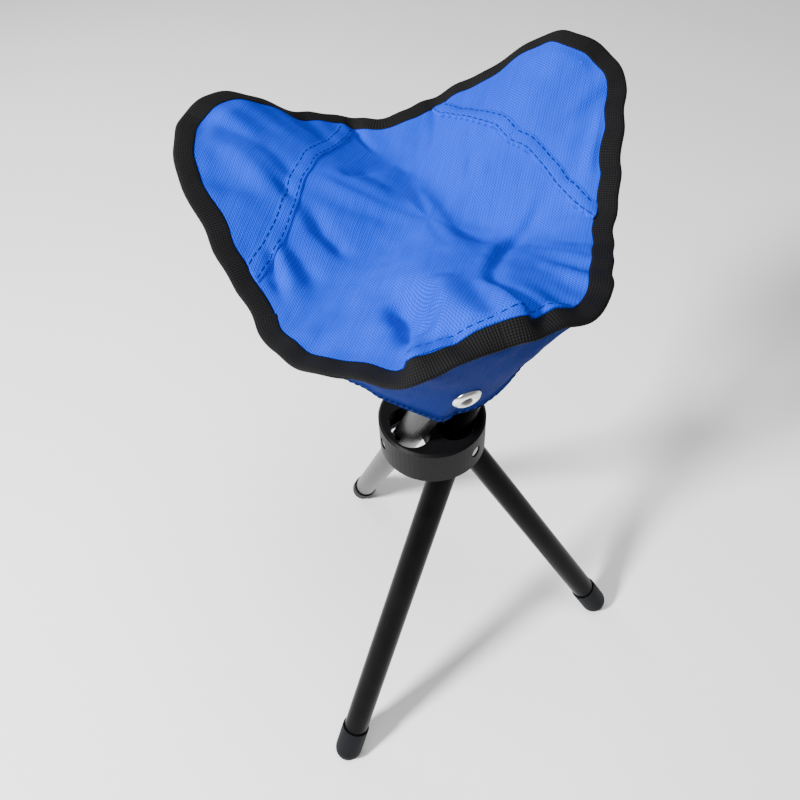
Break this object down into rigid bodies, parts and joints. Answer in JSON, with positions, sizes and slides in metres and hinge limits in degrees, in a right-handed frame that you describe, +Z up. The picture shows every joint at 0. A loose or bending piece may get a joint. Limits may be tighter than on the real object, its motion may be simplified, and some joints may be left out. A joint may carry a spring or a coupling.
{
  "type": "folding tripod camp stool",
  "caption": "Folding camp stool: tube legs that cross in a round plastic hub and carry a triangular cloth sling seat in corner pockets.",
  "frame": {"origin": "the floor under the hub's axis, where the open stool stands", "axes": "+Z up along the hub's axis, +Y away from the front seat corner, which points along -Y"},
  "size_m": [0.2023, 0.2079, 0.3606],
  "materials": {
    "hub_plastic": "satin moulded black",
    "tube_paint": "gloss black",
    "foot_rubber": "matt black",
    "plug_plastic": "black",
    "pin_steel": "dull steel",
    "rivet_nickel": "nickel plated",
    "seat_cloth": "blue oxford cloth",
    "binding_tape": "black ribbed tape"
  },
  "bodies": {
    "hub": {"hub": "hub_plastic", "pivot_pin_1": "pin_steel", "pivot_pin_2": "pin_steel", "pivot_pin_3": "pin_steel"},
    "leg_1": {"leg_tube_1": "tube_paint", "foot_cap_1": "foot_rubber", "tip_plug_1": "plug_plastic", "corner_pocket_1": "seat_cloth", "pocket_rivet_1": "rivet_nickel"},
    "leg_2": {"leg_tube_2": "tube_paint", "foot_cap_2": "foot_rubber", "tip_plug_2": "plug_plastic", "corner_pocket_2": "seat_cloth", "pocket_rivet_2": "rivet_nickel"},
    "leg_3": {"leg_tube_3": "tube_paint", "foot_cap_3": "foot_rubber", "tip_plug_3": "plug_plastic", "corner_pocket_3": "seat_cloth", "pocket_rivet_3": "rivet_nickel"},
    "seat_1_left": {"seat_panel_1_left": "seat_cloth", "rim_tape_1_left": "binding_tape", "pocket_wing_1_left": "seat_cloth"},
    "seat_1_right": {"seat_panel_1_right": "seat_cloth", "rim_tape_1_right": "binding_tape", "pocket_wing_1_right": "seat_cloth"},
    "seat_2_left": {"seat_panel_2_left": "seat_cloth", "rim_tape_2_left": "binding_tape", "pocket_wing_2_left": "seat_cloth"},
    "seat_2_right": {"seat_panel_2_right": "seat_cloth", "rim_tape_2_right": "binding_tape", "pocket_wing_2_right": "seat_cloth"},
    "seat_3_left": {"seat_panel_3_left": "seat_cloth", "rim_tape_3_left": "binding_tape", "pocket_wing_3_left": "seat_cloth"},
    "seat_3_right": {"seat_panel_3_right": "seat_cloth", "rim_tape_3_right": "binding_tape", "pocket_wing_3_right": "seat_cloth"}
  },
  "joints": [
    {"name": "leg_1_fold", "type": "hinge", "parent": "hub", "child": "leg_1", "pos_m": [0.00857, -0.01043, 0.19778], "axis": [0.6349, -0.7726, 0], "range_deg": [0, 29]},
    {"name": "leg_2_fold", "type": "hinge", "parent": "hub", "child": "leg_2", "pos_m": [0.00475, 0.01264, 0.19778], "axis": [0.3517, 0.9361, 0], "range_deg": [0, 29]},
    {"name": "leg_3_fold", "type": "hinge", "parent": "hub", "child": "leg_3", "pos_m": [-0.01332, -0.00221, 0.19778], "axis": [-0.9865, -0.1635, 0], "range_deg": [0, 29]},
    {"name": "seat_1_left_fold", "type": "hinge", "parent": "leg_1", "child": "seat_1_left", "pos_m": [0.0715, 0.04128, 0.35359], "axis": [-0.532, -0.5117, -0.6746], "range_deg": [0, 120.46], "deforming": ["seat_panel_1_left", "rim_tape_1_left", "pocket_wing_1_left"]},
    {"name": "seat_1_right_fold", "type": "hinge", "parent": "leg_1", "child": "seat_1_right", "pos_m": [0.0715, 0.04128, 0.35359], "axis": [-0.4006, -0.6396, -0.656], "range_deg": [0, 88.45], "deforming": ["seat_panel_1_right", "rim_tape_1_right", "pocket_wing_1_right"]},
    {"name": "seat_2_left_fold", "type": "hinge", "parent": "leg_2", "child": "seat_2_left", "pos_m": [-0.0715, 0.04128, 0.35359], "axis": [0.7092, -0.2049, -0.6746], "range_deg": [0, 120.46], "deforming": ["seat_panel_2_left", "rim_tape_2_left", "pocket_wing_2_left"]},
    {"name": "seat_2_right_fold", "type": "hinge", "parent": "leg_2", "child": "seat_2_right", "pos_m": [-0.0715, 0.04128, 0.35359], "axis": [0.7543, -0.0271, -0.656], "range_deg": [0, 88.45], "deforming": ["seat_panel_2_right", "rim_tape_2_right", "pocket_wing_2_right"]},
    {"name": "seat_3_left_fold", "type": "hinge", "parent": "leg_3", "child": "seat_3_left", "pos_m": [0, -0.08256, 0.35359], "axis": [-0.1772, 0.7166, -0.6746], "range_deg": [0, 120.46], "deforming": ["seat_panel_3_left", "rim_tape_3_left", "pocket_wing_3_left"]},
    {"name": "seat_3_right_fold", "type": "hinge", "parent": "leg_3", "child": "seat_3_right", "pos_m": [0, -0.08256, 0.35359], "axis": [-0.3536, 0.6668, -0.656], "range_deg": [0, 88.45], "deforming": ["seat_panel_3_right", "rim_tape_3_right", "pocket_wing_3_right"]}
  ],
  "couplings": [
    {"joint": "leg_2_fold", "follows": "leg_1_fold", "ratio": 1},
    {"joint": "leg_3_fold", "follows": "leg_1_fold", "ratio": 1},
    {"joint": "seat_1_left_fold", "follows": "leg_1_fold", "ratio": 4.1534},
    {"joint": "seat_1_right_fold", "follows": "leg_1_fold", "ratio": 3.0498},
    {"joint": "seat_2_left_fold", "follows": "leg_1_fold", "ratio": 4.1534},
    {"joint": "seat_2_right_fold", "follows": "leg_1_fold", "ratio": 3.0498},
    {"joint": "seat_3_left_fold", "follows": "leg_1_fold", "ratio": 4.1534},
    {"joint": "seat_3_right_fold", "follows": "leg_1_fold", "ratio": 3.0498}
  ]
}
